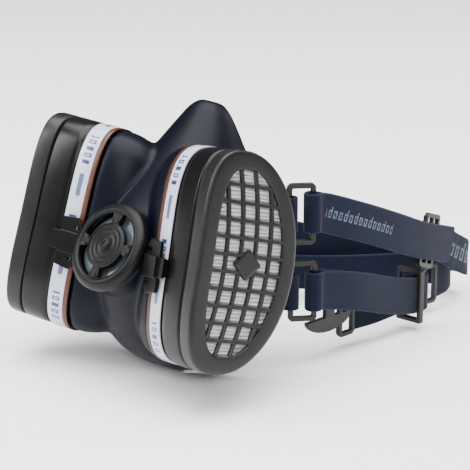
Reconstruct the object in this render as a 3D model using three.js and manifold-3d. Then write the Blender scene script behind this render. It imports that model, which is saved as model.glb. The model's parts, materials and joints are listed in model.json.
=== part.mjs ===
// Half-mask respirator for painting: soft facepiece, two pull-off combination filters, exhalation
// valve, two inhalation valves and a four-point elastic harness. Millimetres, +Z up, -Y forwards.
// X runs towards the wearer's left; the origin is in the mid plane at the height of the filters.
import * as THREE from 'three';
import { mergeVertices } from 'three/addons/utils/BufferGeometryUtils.js';
import Module from 'manifold-3d';

const wasm = await Module();
wasm.setup();

// Driving dimensions
const RAD = Math.PI / 180;
const LEAN_BACK = 21 * RAD;
const GAP = 0.35;

const FILTER_WIDTH = 52;
const FILTER_HEIGHT = 100;
const FILTER_BEND = 9;
const FILTER_POWER = 2.35;
const FILTER_YAW = 76 * RAD;
const FILTER_RISE = 2 * RAD;
const FILTER_ROLL = 6 * RAD;
const FILTER_FACE = [66, -20.3, 0];
const OUTLINE_STEPS = 28;
const INNER_STEPS = 22;

const COVER_DEPTH = 9;
const CASE_TOP = -COVER_DEPTH - GAP;
const CASE_WALL = 2;
const CASE_FLOOR = 2.4;
const GREY_STEP = -23.6;
const LABEL_TOP = -25.8;
const LABEL_BOTTOM = -34.4;
const BAND_BOTTOM = -37;
const BAND_INSET = 0.9;
const SPIGOT_LENGTH = 5.5;
const SPIGOT_INSET = 12;
const SPIGOT_WALL = 1.8;

const GRILLE_INSET_SIDE = 8;
const GRILLE_PITCH = 7.7;
const GRILLE_BAR = 1.6;
const GRILLE_THICK = 2.2;
const RHOMBUS = 14;

const PLEAT_PITCH = 4.2;
const PLEAT_TOP = -3.2;
const PLEAT_BOTTOM = -13;
const CARBON_TOP = -15.4;
const CARBON_BOTTOM = -32;
const SCREEN_THICK = 1.2;
const BED_INSET = CASE_WALL + BAND_INSET + 0.5;
const MEDIA_INSET = BED_INSET + 0.1;

const GASKET_TOP = BAND_BOTTOM - GAP;
const GASKET_BOTTOM = GASKET_TOP - 1.6;
const PORT_TOP = GASKET_BOTTOM - GAP;
const PORT_PLATE = 2.4;
const PORT_BOTTOM = -50;
const PORT_INSET = 4.4;
const CUP_INSET = 9;
const CUP_WALL = 1.6;
const SEAT_HOLE = 10.5;
const FLAP_RADIUS = 12.6;
const FLAP_THICK = 1.1;
const FLAP_LIFT = 1.8;

const VALVE_CENTRE = [0, -31.6, -8.6];
const VALVE_TILT = 12 * RAD;
const VALVE_BORE = 16.6;
const VALVE_FLANGE = VALVE_BORE + 2.6;
const FLANGE_TOP = 2.2;
const THROAT_RADIUS = 13.2;
const EXHALE_FLAP = { radius: 16.2, thick: 1.2 };
const VALVE_STUD = 1.4;
const COVER_BOSS = { radius: 2.2, top: 8.5 };
const WINDOW = { inner: 11.2, outer: 16.6, from: 10, to: 80 };
// Half section of the valve cover: radius and height over the valve's own origin
const COVER_OUTSIDE = [
  [0, 7.6], [9, 7.9], [11, 7.6], [16.6, 7.6], [17.4, 8], [19.2, 7.7], [20.8, 6.4], [21.2, 5], [21.2, 3.2],
  [20.4, 2.6], [0, 2.6]];
const COVER_INSIDE = [[0, 5.7], [16.8, 5.7], [18.4, 5], [18.8, 4], [18.8, 0], [0, 0]];

const SHELL_WALL = 2.6;
const POCKET_GAP = 1.2;
const POCKET_TOP = 20;
// Collar of the facepiece round a filter and the passage inside it: depth and inset
const COLLAR_STATIONS = [
  [-62, 12], [-56, 6.5], [-50, 3], [-44, 1.2], [PORT_TOP - PORT_PLATE, 0.6], [GASKET_TOP, 0.6]];
const PASSAGE_STATIONS = [[-66, 19], [-58, 12], [-52, 7.6], [-46, 6.5], [-43, 6.5]];
// Rubber lugs on the sealing edge that carry the harness tabs
const LUGS = [
  { size: [6, 9, 14], at: [37.7, 18.5, 26] },
  { size: [4, 9, 14], at: [41.7, 26, -8] },
];

// Latch: a ribbed lever on the filter edge whose hook reaches over the collar. Its thickness points
// away from the filter edge and its length runs along the filter.
const LATCH = {
  height: 25, plate: 1.5, boss: 2.9, bossHeight: 10, earHeight: 9, shoulder: -27.4,
  top: -23.4, bottom: -38.7, reach: 1.7, pivot: -24.7, up: -7 };
const LUG_ROOT = 1.6;
const LUG_HEIGHT = 8;
const LUG_THICK = 1.5;

const STRAP_WIDTH = 19;
const STRAP_THICK = 1.7;
// Harness rings: a frame that turns about its front bar and carries a strap on its rear bar
const RING = { along: 14, height: 30, bar: 2.6, thick: 2.4, turn: -37 * RAD };
const RING_AT = { upper: [47, 43, 15], lower: [50, 41, -22] };
const RING_LOOP_RADIUS = 4.1;
const RING_LOOP_ANGLES = [35, -5, -45, -85, -125, -165, -200];
const TAB = { eye: 4.1, bore: 2.3, height: 17, tongue: 2.6, reach: 9 };
const CLASP = { along: 12, height: 22, bar: 2.4, thick: 2.6, crescent: 34, drop: 8 };
const SLIDER = { along: 16, height: 28, bar: 2.6, thick: 2.2 };
const SLEEVE = { along: 3.4, height: 28, width: 15.4, wall: 2.2 };
const FRAME_CORNER = 1.6;

// Horizontal sections of the facepiece: height, half width, foremost y, y of the sealing edge
const FACE_SECTIONS = [
  [-57, 12, 8, 22], [-53, 24, -3, 28], [-45, 33, -14, 32], [-33, 39, -23, 35],
  [-19, 42.5, -29, 36], [-4, 43.5, -31, 35], [11, 41.5, -29, 32], [25, 36, -24, 27],
  [38, 29, -18, 22], [50, 22, -12, 17], [60, 16, -7, 13], [67, 11, -3.5, 10], [71, 6, 0, 8],
];
const FACE_ARC_STEPS = 18;
const FACE_POWER = 2.2;

const COLOURS = {
  rubber: 0x1a1f30, grey: 0x45454a, dark: 0x3a3a3c, label: 0xc8c8d8, orange: 0x9a481c,
  media: 0xe8e6e0, carbon: 0x222222, webbing: 0x262c44, buckle: 0x4a4846, silicone: 0x8fa3b3,
};

const root = new THREE.Group();
const mask = new THREE.Group();
mask.rotation.x = -LEAN_BACK;
root.add(mask);

function addMesh(parent, name, geometry, colour, roughness = 0.6) {
  const material = new THREE.MeshStandardMaterial({ color: colour, roughness, metalness: 0 });
  const mesh = new THREE.Mesh(geometry, material);
  mesh.name = name;
  parent.add(mesh);
  return mesh;
}

function toManifold(geometry) {
  const bare = geometry.clone();
  bare.deleteAttribute('normal');
  bare.deleteAttribute('uv');
  const merged = mergeVertices(bare, 1e-4);
  const vertProperties = new Float32Array(merged.attributes.position.array);
  const triVerts = new Uint32Array(merged.index.array);
  return new wasm.Manifold(new wasm.Mesh({ numProp: 3, vertProperties, triVerts }));
}

function toGeometry(solid) {
  const mesh = solid.getMesh();
  const geometry = new THREE.BufferGeometry();
  geometry.setAttribute('position', new THREE.BufferAttribute(new Float32Array(mesh.vertProperties), 3));
  geometry.setIndex(new THREE.BufferAttribute(new Uint32Array(mesh.triVerts), 1));
  geometry.computeVertexNormals();
  return geometry;
}

// Joins geometries, then cuts others away
function build(adds, cuts = []) {
  let solid = toManifold(adds[0]);
  for (const extra of adds.slice(1)) solid = solid.add(toManifold(extra));
  for (const cut of cuts) solid = solid.subtract(toManifold(cut));
  return toGeometry(solid);
}

function common(first, second) {
  return toGeometry(toManifold(first).intersect(toManifold(second)));
}

function box(width, depth, height, x = 0, y = 0, z = 0) {
  return new THREE.BoxGeometry(width, depth, height).translate(x, y, z);
}

// A round bar along local z from z0 to z1
function disc(radius, z0, z1, steps = 24) {
  const bar = new THREE.CylinderGeometry(radius, radius, z1 - z0, steps);
  return bar.rotateX(Math.PI / 2).translate(0, 0, (z0 + z1) / 2);
}

// Closed skin over rings of points that all have the same count
function loft(rings) {
  const count = rings[0].length;
  const positions = rings.flat().flatMap((p) => [p.x, p.y, p.z]);
  const index = [];
  for (let i = 0; i + 1 < rings.length; i += 1) {
    for (let j = 0; j < count; j += 1) {
      const a = i * count + j;
      const b = i * count + ((j + 1) % count);
      index.push(a, b, b + count, a, b + count, a + count);
    }
  }
  for (const [ring, first] of [[rings[0], 0], [rings.at(-1), (rings.length - 1) * count]]) {
    const centre = ring.reduce((sum, p) => sum.add(p), new THREE.Vector3()).divideScalar(count);
    const hub = positions.length / 3;
    positions.push(centre.x, centre.y, centre.z);
    for (let j = 0; j < count; j += 1) {
      const a = first + j;
      const b = first + ((j + 1) % count);
      if (first === 0) index.push(hub, b, a);
      else index.push(hub, a, b);
    }
  }
  const geometry = new THREE.BufferGeometry();
  geometry.setAttribute('position', new THREE.Float32BufferAttribute(positions, 3));
  geometry.setIndex(index);
  return geometry;
}

// ---- Filter outlines: a rounded oblong bent forwards at its two ends ----
function kidney(side, inset, steps = OUTLINE_STEPS) {
  const half = FILTER_HEIGHT / 2;
  const points = [];
  for (let i = 0; i < steps; i += 1) {
    const t = (i / steps) * 2 * Math.PI;
    const c = Math.cos(t);
    const s = Math.sin(t);
    const u = (FILTER_WIDTH / 2 - inset) * Math.sign(c) * Math.abs(c) ** (2 / FILTER_POWER);
    const v = (half - inset) * Math.sign(s) * Math.abs(s) ** (2 / FILTER_POWER);
    points.push(new THREE.Vector2(side * (u + bend(v)), v));
  }
  return side > 0 ? points : points.reverse();
}

function bend(v) {
  return FILTER_BEND * (0.5 - (v / (FILTER_HEIGHT / 2)) ** 2);
}

function kidneySlab(side, inset, z0, z1, holeInset = null, steps = OUTLINE_STEPS) {
  const shape = new THREE.Shape(kidney(side, inset, steps));
  if (holeInset !== null) shape.holes.push(new THREE.Path(kidney(side, holeInset, steps)));
  const slab = new THREE.ExtrudeGeometry(shape, { depth: z1 - z0, bevelEnabled: false });
  return slab.translate(0, 0, z0);
}

// Loft of kidney rings, each given as [z, inset], from the deepest to the outermost
function kidneyLoft(side, stations, steps = OUTLINE_STEPS) {
  const rings = stations.map(([z, inset]) =>
    kidney(side, inset, steps).map((p) => new THREE.Vector3(p.x, p.y, z)));
  return loft(rings);
}

function filterFrame(side) {
  const normal = new THREE.Vector3(
    Math.sin(FILTER_YAW) * Math.cos(FILTER_RISE),
    -Math.cos(FILTER_YAW) * Math.cos(FILTER_RISE),
    Math.sin(FILTER_RISE));
  const back = new THREE.Vector3(Math.cos(FILTER_YAW), Math.sin(FILTER_YAW), 0);
  const up = new THREE.Vector3().crossVectors(normal, back);
  const x = back.clone().multiplyScalar(Math.cos(FILTER_ROLL)).addScaledVector(up, Math.sin(FILTER_ROLL));
  const y = up.clone().multiplyScalar(Math.cos(FILTER_ROLL)).addScaledVector(back, -Math.sin(FILTER_ROLL));
  const matrix = new THREE.Matrix4();
  if (side > 0) {
    matrix.makeBasis(x, y, normal);
  } else {
    const flip = (v, s) => new THREE.Vector3(-v.x * s, v.y * s, v.z * s);
    matrix.makeBasis(flip(x, -1), flip(y, 1), flip(normal, 1));
  }
  matrix.setPosition(side * FILTER_FACE[0], FILTER_FACE[1], FILTER_FACE[2]);
  return matrix;
}

function placed(geometry, side) {
  return geometry.clone().applyMatrix4(filterFrame(side));
}

// ---- Filter parts, in the filter's own frame: z = 0 is the outer face, +z points outwards ----
function coverGeometry(side) {
  const rim = kidneyLoft(side, [[-COVER_DEPTH, 0.6], [-COVER_DEPTH + 0.8, 0], [-1.6, 0.3], [0, 2.2]]);
  const hollow = kidneySlab(side, CASE_WALL, -COVER_DEPTH - 1, -GRILLE_THICK);
  const window = kidneySlab(side, GRILLE_INSET_SIDE, -COVER_DEPTH, 1);
  const bars = [];
  const rows = Math.floor(FILTER_HEIGHT / GRILLE_PITCH);
  for (let i = 0; i < rows; i += 1) {
    const v = (i - (rows - 1) / 2) * GRILLE_PITCH;
    bars.push(box(FILTER_WIDTH, GRILLE_BAR, GRILLE_THICK - 0.5, 0, v, -GRILLE_THICK / 2 - 0.1));
  }
  for (let k = -2.5; k <= 2.5; k += 1) bars.push(bentBar(side, k * GRILLE_PITCH));
  bars.push(rhombus(side));
  let lattice = toManifold(bars[0]);
  for (const bar of bars.slice(1)) lattice = lattice.add(toManifold(bar));
  const field = kidneySlab(side, GRILLE_INSET_SIDE - 0.8, -COVER_DEPTH, 1);
  lattice = lattice.intersect(toManifold(field));
  let shell = toManifold(rim).subtract(toManifold(hollow)).subtract(toManifold(window));
  shell = shell.add(lattice);
  return toGeometry(shell);
}

// A grille bar that follows the bent centre line
function bentBar(side, offset) {
  const rings = [];
  const z1 = -0.35;
  const z0 = -GRILLE_THICK + 0.15;
  for (let i = 0; i <= 6; i += 1) {
    const v = -FILTER_HEIGHT / 2 + (i / 6) * FILTER_HEIGHT;
    const u = side * (offset + bend(v));
    const half = GRILLE_BAR / 2;
    rings.push([
      new THREE.Vector3(u + half, v, z0), new THREE.Vector3(u + half, v, z1),
      new THREE.Vector3(u - half, v, z1), new THREE.Vector3(u - half, v, z0)].reverse());
  }
  return loft(rings);
}

function rhombus(side) {
  const shape = new THREE.Shape([
    new THREE.Vector2(RHOMBUS / 2, 0), new THREE.Vector2(0, RHOMBUS / 2),
    new THREE.Vector2(-RHOMBUS / 2, 0), new THREE.Vector2(0, -RHOMBUS / 2)]);
  const plate = new THREE.ExtrudeGeometry(shape, { depth: GRILLE_THICK - 0.4, bevelEnabled: false });
  return plate.translate(side * bend(0), 0, -GRILLE_THICK + 0.4);
}

function caseGeometry(side) {
  const body = kidneyLoft(side, [
    [BAND_BOTTOM, BAND_INSET], [GREY_STEP - 1, BAND_INSET], [GREY_STEP, 0.3], [GREY_STEP + 2, 0],
    [CASE_TOP - 1, 0], [CASE_TOP, 0.8]]);
  const hollow = kidneySlab(side, CASE_WALL + BAND_INSET, BAND_BOTTOM + CASE_FLOOR, CASE_TOP + 1);
  const spigot = kidneySlab(side, SPIGOT_INSET, BAND_BOTTOM - SPIGOT_LENGTH, BAND_BOTTOM + 1);
  const outlet = kidneySlab(side, SPIGOT_INSET + SPIGOT_WALL, BAND_BOTTOM - SPIGOT_LENGTH - 1, CASE_TOP);
  return build([body, spigot, lugGeometry(side)], [hollow, outlet]);
}

function ringGeometry(side, z0, z1, thick = 0.55) {
  const outer = BAND_INSET - GAP - thick;
  return kidneySlab(side, outer, z0, z1, outer + thick);
}

// Pleats run across the filter, so their ridges are lines of constant height
function pleatsGeometry(side) {
  const top = FILTER_HEIGHT / 2 - 5;
  const count = Math.floor((2 * top) / PLEAT_PITCH);
  const sheet = 1.6;
  const outline = [];
  for (let i = 0; i <= count; i += 1) {
    const v = -top + i * PLEAT_PITCH;
    outline.push(new THREE.Vector2(v, PLEAT_BOTTOM + sheet));
    if (i < count) outline.push(new THREE.Vector2(v + PLEAT_PITCH / 2, PLEAT_TOP));
  }
  for (let i = count; i >= 0; i -= 1) {
    const v = -top + i * PLEAT_PITCH;
    outline.push(new THREE.Vector2(v, PLEAT_BOTTOM));
    if (i > 0) outline.push(new THREE.Vector2(v - PLEAT_PITCH / 2, PLEAT_TOP - sheet));
  }
  const shape = new THREE.Shape(outline);
  const pack = new THREE.ExtrudeGeometry(shape, { depth: FILTER_WIDTH + 12, bevelEnabled: false });
  pack.translate(0, 0, -FILTER_WIDTH / 2 - 6);
  // shape x (height) becomes y, shape y becomes z, extrusion becomes x
  pack.applyMatrix4(new THREE.Matrix4().makeBasis(
    new THREE.Vector3(0, 1, 0), new THREE.Vector3(0, 0, 1), new THREE.Vector3(1, 0, 0)));
  const inside = kidneySlab(side, MEDIA_INSET, PLEAT_BOTTOM - 1, PLEAT_TOP + 1, null, INNER_STEPS);
  return common(pack, inside);
}

function screenGeometry(side) {
  const bottom = CARBON_TOP + GAP;
  const plate = kidneySlab(side, BED_INSET, bottom, bottom + SCREEN_THICK, null, INNER_STEPS);
  const holes = [];
  for (let i = -2; i <= 2; i += 1) {
    for (const k of [-0.5, 0.5]) {
      const x = side * (k * 16 + bend(i * 15));
      holes.push(disc(4, CARBON_TOP, CARBON_TOP + 3, 6).translate(x, i * 15, 0));
    }
  }
  return build([plate], holes);
}

// Point on the front edge of the filter outline at the latch's height
function edgePoint(side) {
  const s = Math.abs(LATCH.up) / (FILTER_HEIGHT / 2);
  const reach = (FILTER_WIDTH / 2) * (1 - s ** FILTER_POWER) ** (1 / FILTER_POWER);
  return { x: side * (bend(LATCH.up) - reach), y: LATCH.up, out: -side };
}

function latchGeometry(side) {
  const edge = edgePoint(side);
  const half = LATCH.height / 2;
  const ear = LATCH.earHeight / 2;
  const slant = 3;
  // Outline of the plate: shape x is the height along the filter's edge, shape y the depth
  const outline = [
    [-half + slant, LATCH.bottom], [half - slant, LATCH.bottom], [half, LATCH.bottom + slant],
    [half - 1, LATCH.shoulder], [ear, LATCH.shoulder], [ear, LATCH.top], [-ear, LATCH.top],
    [-ear, LATCH.shoulder], [-half + 1, LATCH.shoulder], [-half, LATCH.bottom + slant]];
  const shape = new THREE.Shape(outline.map(([a, b]) => new THREE.Vector2(a, b)));
  const plate = new THREE.ExtrudeGeometry(shape, { depth: LATCH.plate, bevelEnabled: false });
  plate.translate(0, 0, LATCH.reach);
  plate.applyMatrix4(new THREE.Matrix4().makeBasis(
    new THREE.Vector3(0, 1, 0), new THREE.Vector3(0, 0, 1), new THREE.Vector3(1, 0, 0)));
  const middle = (LATCH.shoulder + LATCH.bottom) / 2;
  const span = LATCH.shoulder - LATCH.bottom - 1;
  const boss = box(LATCH.boss - 0.4, LATCH.bossHeight, span, LATCH.reach + LATCH.boss / 2 + 0.2, 0, middle);
  const slots = [-7.4, 7.4].map((y) => box(8, 1.4, 5, LATCH.reach, y, LATCH.bottom + 1.5));
  let geometry = build([plate, boss], slots);
  if (edge.out < 0) geometry = geometry.rotateZ(Math.PI);
  return geometry.translate(edge.x, edge.y, 0);
}

// Pivot lug on the filter case, behind the latch
function lugGeometry(side) {
  const edge = edgePoint(side);
  const width = LATCH.reach - GAP + LUG_ROOT;
  const lug = box(width, LUG_HEIGHT, LUG_THICK, edge.out * (width / 2 - LUG_ROOT), 0, LATCH.pivot);
  return lug.translate(edge.x, edge.y, 0);
}

function portGeometry(side) {
  const plate = kidneySlab(side, PORT_INSET, PORT_TOP - PORT_PLATE, PORT_TOP);
  const cup = kidneySlab(side, CUP_INSET, PORT_BOTTOM, PORT_TOP - PORT_PLATE + 0.5);
  const bore = kidneySlab(side, CUP_INSET + CUP_WALL, PORT_BOTTOM + 2, PORT_TOP + 1);
  const cx = side * bend(0);
  const hole = disc(SEAT_HOLE, PORT_BOTTOM - 2, PORT_BOTTOM + 4, 20).translate(cx, 0, 0);
  const spokes = [0, 1, 2].map((i) => {
    const bar = box(2 * SEAT_HOLE + 2, 1.6, 1.6, 0, 0, PORT_BOTTOM + 1.1);
    return bar.rotateZ((i * Math.PI) / 3).translate(cx, 0, 0);
  });
  const stud = disc(1.5, PORT_BOTTOM - 4, PORT_BOTTOM + 1.8, 12).translate(cx, 0, 0);
  const knobTop = PORT_BOTTOM - FLAP_THICK - FLAP_LIFT - 1;
  const knob = disc(2.4, knobTop - 1.2, knobTop, 12);
  const shell = toManifold(plate).add(toManifold(cup)).subtract(toManifold(bore)).subtract(toManifold(hole));
  let solid = shell;
  for (const part of [...spokes, stud, knob.translate(cx, 0, 0)]) solid = solid.add(toManifold(part));
  return toGeometry(solid);
}

function inhaleFlapGeometry(side) {
  const cx = side * bend(0);
  const top = PORT_BOTTOM - GAP;
  const flap = disc(FLAP_RADIUS, top - FLAP_THICK, top, 20);
  const hole = disc(1.5 + GAP, top - 3, top + 1, 12);
  return build([flap], [hole]).translate(cx, 0, 0);
}

// ---- Facepiece ----
function faceRing(section, grow, openBack) {
  const [z, halfWidth, front, seal] = section;
  const w = Math.max(halfWidth + grow, 0.8);
  const depth = Math.max(seal - front + grow, 0.8);
  const ring = [];
  for (let i = 0; i <= FACE_ARC_STEPS; i += 1) {
    const t = (i / FACE_ARC_STEPS) * Math.PI;
    const c = Math.cos(t);
    const s = Math.sin(t);
    const x = w * Math.sign(c) * Math.abs(c) ** (2 / FACE_POWER);
    const y = seal - depth * Math.abs(s) ** (2 / FACE_POWER);
    ring.push(new THREE.Vector3(x, y, z));
  }
  const behind = openBack ? 30 : 0.5;
  ring.push(new THREE.Vector3(-w, seal + behind, z));
  ring.push(new THREE.Vector3(0, seal + behind, z));
  ring.push(new THREE.Vector3(w, seal + behind, z));
  return ring.reverse();
}

function faceLoft(grow, openBack) {
  const last = FACE_SECTIONS.length - 1;
  const rings = FACE_SECTIONS.map((section, i) => {
    const lift = i === 0 ? -grow : i === last ? grow : 0;
    return faceRing([section[0] + lift, ...section.slice(1)], grow, openBack);
  });
  return loft(rings);
}

// The cavity behind the sealing edge stops short of the two pockets that take the filters
function faceCavity() {
  let cavity = toManifold(faceLoft(-SHELL_WALL, true));
  for (const side of [1, -1]) {
    const wall = kidneySlab(side, -POCKET_GAP - SHELL_WALL, GASKET_TOP - SHELL_WALL, POCKET_TOP);
    cavity = cavity.subtract(toManifold(placed(wall, side)));
  }
  return cavity;
}

function faceGeometry() {
  const adds = [faceLoft(0, false)];
  const cuts = [];
  for (const side of [1, -1]) {
    adds.push(placed(kidneyLoft(side, COLLAR_STATIONS), side));
    cuts.push(placed(kidneyLoft(side, PASSAGE_STATIONS), side));
    cuts.push(placed(kidneySlab(side, PORT_INSET - GAP, PORT_TOP - PORT_PLATE - GAP, 0), side));
    cuts.push(placed(kidneySlab(side, CUP_INSET - 0.8, -44, -40), side));
    cuts.push(placed(kidneySlab(side, -POCKET_GAP, GASKET_TOP, POCKET_TOP), side));
    for (const lug of LUGS) adds.push(box(...lug.size, side * lug.at[0], lug.at[1], lug.at[2]));
  }
  const valve = new THREE.Matrix4().makeRotationX(Math.PI / 2 - VALVE_TILT);
  valve.setPosition(...VALVE_CENTRE);
  adds.push(disc(VALVE_FLANGE, -9, 0.6).applyMatrix4(valve));
  cuts.push(disc(VALVE_BORE + GAP, -16, 4).applyMatrix4(valve));
  cuts.push(disc(VALVE_FLANGE + GAP, 0.6, 14).applyMatrix4(valve));
  let solid = toManifold(adds[0]);
  for (const extra of adds.slice(1)) solid = solid.add(toManifold(extra));
  solid = solid.subtract(faceCavity());
  for (const cut of cuts) solid = solid.subtract(toManifold(cut));
  return toGeometry(solid);
}

// ---- Exhalation valve, local z along the valve axis, pointing out ----
function valveSeatGeometry() {
  const ring = disc(VALVE_BORE, -6, FLANGE_TOP);
  const flange = disc(VALVE_FLANGE, 1, FLANGE_TOP);
  const throat = disc(THROAT_RADIUS, -8, 6);
  const span = 2 * THROAT_RADIUS + 1;
  const spokes = [0, 1, 2].map((i) => box(span, 1.8, 2, 0, 0, -1).rotateZ((i * Math.PI) / 3));
  const hub = disc(3, -2, 0.4, 16);
  const stud = disc(VALVE_STUD, -0.5, 4.4, 12);
  let solid = toManifold(ring).add(toManifold(flange)).subtract(toManifold(throat));
  for (const part of [...spokes, hub, stud]) solid = solid.add(toManifold(part));
  return toGeometry(solid);
}

function exhaleFlapGeometry() {
  const bottom = FLANGE_TOP + GAP;
  const flap = disc(EXHALE_FLAP.radius, bottom, bottom + EXHALE_FLAP.thick);
  return build([flap], [disc(VALVE_STUD + GAP, 1, 6, 12)]);
}

function valveCoverGeometry() {
  const lathe = (points) => {
    const profile = points.map(([r, z]) => new THREE.Vector2(r, z)).reverse();
    return new THREE.LatheGeometry(profile, 28).rotateX(Math.PI / 2);
  };
  const windows = [0, 90, 180, 270].map((turn) =>
    sector(WINDOW.inner, WINDOW.outer, (WINDOW.from + turn) * RAD, (WINDOW.to + turn) * RAD));
  const boss = disc(COVER_BOSS.radius, 7, COVER_BOSS.top, 28);
  return build([lathe(COVER_OUTSIDE), boss], [lathe(COVER_INSIDE), ...windows]);
}

// Slab between two radii and two angles
function sector(r0, r1, a0, a1) {
  const points = [];
  const steps = 6;
  for (let i = 0; i <= steps; i += 1) {
    const a = a0 + ((a1 - a0) * i) / steps;
    points.push(new THREE.Vector2(r1 * Math.cos(a), r1 * Math.sin(a)));
  }
  for (let i = steps; i >= 0; i -= 1) {
    const a = a0 + ((a1 - a0) * i) / steps;
    points.push(new THREE.Vector2(r0 * Math.cos(a), r0 * Math.sin(a)));
  }
  const slab = new THREE.ExtrudeGeometry(new THREE.Shape(points), { depth: 8, bevelEnabled: false });
  return slab.translate(0, 0, 4);
}

// ---- Harness, in world axes ----
// Flat webbing along a list of points, standing on its edge
function webbing(points, steps, width = STRAP_WIDTH, thick = STRAP_THICK) {
  const curve = new THREE.CatmullRomCurve3(points.map((p) => new THREE.Vector3(...p)), false, 'centripetal');
  const rings = [];
  for (let i = 0; i <= steps; i += 1) {
    const t = i / steps;
    const at = curve.getPointAt(t);
    const along = curve.getTangentAt(t);
    const up = new THREE.Vector3(0, 0, 1).addScaledVector(along, -along.z).normalize();
    const out = new THREE.Vector3().crossVectors(along, up);
    const corner = (a, b) =>
      at.clone().addScaledVector(up, (a * width) / 2).addScaledVector(out, (b * thick) / 2);
    rings.push([corner(1, 1), corner(1, -1), corner(-1, -1), corner(-1, 1)].reverse());
  }
  return loft(rings);
}

// Rectangular frame in the local y-z plane: outer and inner sizes, thickness along x
function frameGeometry(outerY, outerZ, bar, thick, middle = 0) {
  const corner = FRAME_CORNER;
  const halfY = outerY / 2;
  const halfZ = outerZ / 2;
  const shape = new THREE.Shape([
    new THREE.Vector2(-halfY + corner, -halfZ), new THREE.Vector2(halfY - corner, -halfZ),
    new THREE.Vector2(halfY, -halfZ + corner), new THREE.Vector2(halfY, halfZ - corner),
    new THREE.Vector2(halfY - corner, halfZ), new THREE.Vector2(-halfY + corner, halfZ),
    new THREE.Vector2(-halfY, halfZ - corner), new THREE.Vector2(-halfY, -halfZ + corner)]);
  const plate = new THREE.ExtrudeGeometry(shape, { depth: thick, bevelEnabled: false });
  plate.translate(0, 0, -thick / 2);
  plate.applyMatrix4(new THREE.Matrix4().makeBasis(
    new THREE.Vector3(0, 1, 0), new THREE.Vector3(0, 0, 1), new THREE.Vector3(1, 0, 0)));
  const slotHeight = outerZ - 2 * bar;
  if (middle === 0) return build([plate], [box(thick + 2, outerY - 2 * bar, slotHeight)]);
  const slotWidth = (outerY - 2 * bar - middle) / 2;
  const slotAt = (slotWidth + middle) / 2;
  const slots = [1, -1].map((k) => box(thick + 2, slotWidth, slotHeight, 0, k * slotAt, 0));
  return build([plate], slots);
}

// Rubber and webbing tab from a facepiece lug to the front bar of its ring
function tabGeometry(side, level) {
  const [x, y, z] = RING_AT[level];
  const reach = RING.along / 2 - RING.bar / 2;
  const barX = x + reach * Math.sin(RING.turn);
  const barY = y - reach * Math.cos(RING.turn);
  const { height } = TAB;
  const eye = disc(TAB.eye, z - height / 2, z + height / 2, 20).translate(barX, barY, 0);
  const bore = disc(TAB.bore, z - height, z + height, 16).translate(barX, barY, 0);
  const tongue = box(TAB.tongue, TAB.reach, height, barX - 1.2, barY - 5.4, z);
  const tab = build([eye, tongue], [bore]);
  if (side > 0) return tab;
  return toGeometry(toManifold(tab).scale([-1, 1, 1]));
}

// Points on the centre line of a strap where it turns round a ring's rear bar
function ringLoop(level, side, z) {
  const [x, y] = RING_AT[level];
  const reach = RING.along / 2 - RING.bar / 2;
  return RING_LOOP_ANGLES.map((degrees) => [
    side * (x - reach * Math.sin(RING.turn) + RING_LOOP_RADIUS * Math.cos(degrees * RAD)),
    y + reach * Math.cos(RING.turn) + RING_LOOP_RADIUS * Math.sin(degrees * RAD),
    z]);
}

// Routes of the straps, each a list of points on the centre line of the webbing
const UPPER_LEFT = [
  [50, 158, -23], [55.5, 126, -13], [57.5, 98, -2], [56.5, 72, 8], ...ringLoop('upper', 1, 15.6),
  [49, 70, 8.5], [51.5, 98, -2], [49.6, 126, -13], [44.4, 157, -23]];
const UPPER_RIGHT = [
  [-41, 116, -24], [-50.5, 92, -10], [-56, 70, 3], ...ringLoop('upper', -1, 14.6),
  [-48.8, 68, 4], [-43.8, 90, -10], [-34.7, 112.6, -24]];
const HEAD_BAND = [
  [-33.1, 116.4, -25.8], [-26, 131, -30], [-2, 164, -36], [13, 186, -40], [27, 197, -41.5],
  [38, 189, -39], [42.2, 172, -31], [43.9, 160, -24.5]];
const LOWER_LEFT = [
  [42, 90, -45.5], [44.2, 104, -45], [46, 125, -43.5], [48.6, 135.5, -43], [51.6, 136, -43],
  [53.4, 125, -42.5], [55.6, 102, -37], [58, 74, -28], ...ringLoop('lower', 1, -22),
  [51.2, 72, -28.4], [50.6, 92, -34]];
const LOWER_RIGHT = [
  [-51, 86, -33], [-57, 68, -26.5], ...ringLoop('lower', -1, -22), [-48.2, 70, -28],
  [-43, 92, -36.5], [-32, 114, -44.5], [-19, 131, -46.6], [6, 160, -46.6], [17, 179, -46.6],
  [27, 187, -46.6], [33.6, 178, -46.6], [36.6, 163, -46.6]];

const HARNESS_SLIDERS = {
  upper_slider_left: { at: [50.4, 138, -16.6], along: [-5.4, 30, -10] },
  upper_slider_right: { at: [-41.9, 104.4, -17.6], along: [9.3, 23.5, -14] },
};

function alongMatrix(at, along) {
  const y = new THREE.Vector3(...along).normalize();
  const x = new THREE.Vector3().crossVectors(y, new THREE.Vector3(0, 0, 1)).normalize();
  const z = new THREE.Vector3().crossVectors(x, y);
  const matrix = new THREE.Matrix4().makeBasis(x, y, z);
  return matrix.setPosition(...at);
}

// Sleeve-shaped slider that a doubled strap passes through
function sleeveGeometry() {
  const outer = box(SLEEVE.width, SLEEVE.along, SLEEVE.height);
  const bore = box(SLEEVE.width - 2 * SLEEVE.wall, SLEEVE.along + 2, SLEEVE.height - 2 * SLEEVE.wall);
  return build([outer], [bore]);
}

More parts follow.
